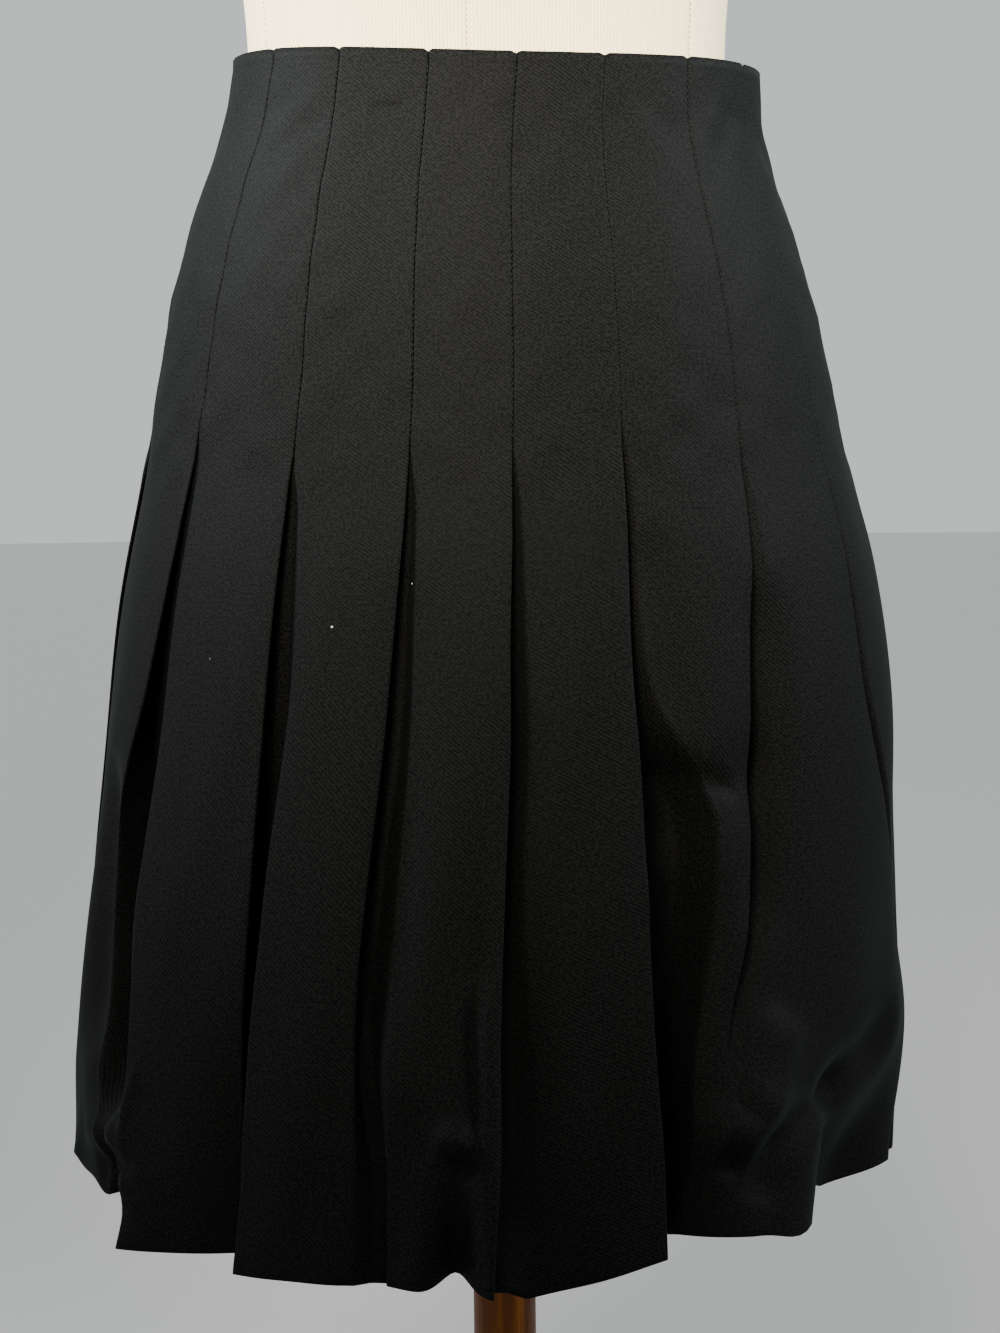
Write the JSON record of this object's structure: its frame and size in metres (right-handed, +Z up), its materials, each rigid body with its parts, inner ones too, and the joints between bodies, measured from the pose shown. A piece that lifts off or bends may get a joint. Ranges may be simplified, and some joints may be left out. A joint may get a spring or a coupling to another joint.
{
  "type": "pleated skirt on a limbless dress form",
  "caption": "Black knife-pleated skater skirt, stitched flat to the hip and free below, on a linen dress form with a wooden post and round base.",
  "frame": {"origin": "on the floor under the middle of the round base", "axes": "+Z up, the front of the skirt looks along -Y, +X to the viewer's right, which is the wearer's left"},
  "size_m": [0.46, 0.46, 1.51],
  "materials": {
    "skirt_cloth": "black crepe, soft sheen",
    "zip_tape": "black woven tape",
    "form_linen": "natural linen",
    "stand_wood": "brown stained wood, satin"
  },
  "bodies": {
    "root": {"skirt_front": "skirt_cloth", "skirt_back": "skirt_cloth", "zip_tape": "zip_tape", "form_torso": "form_linen", "stand_post": "stand_wood", "stand_base": "stand_wood"}
  },
  "joints": []
}
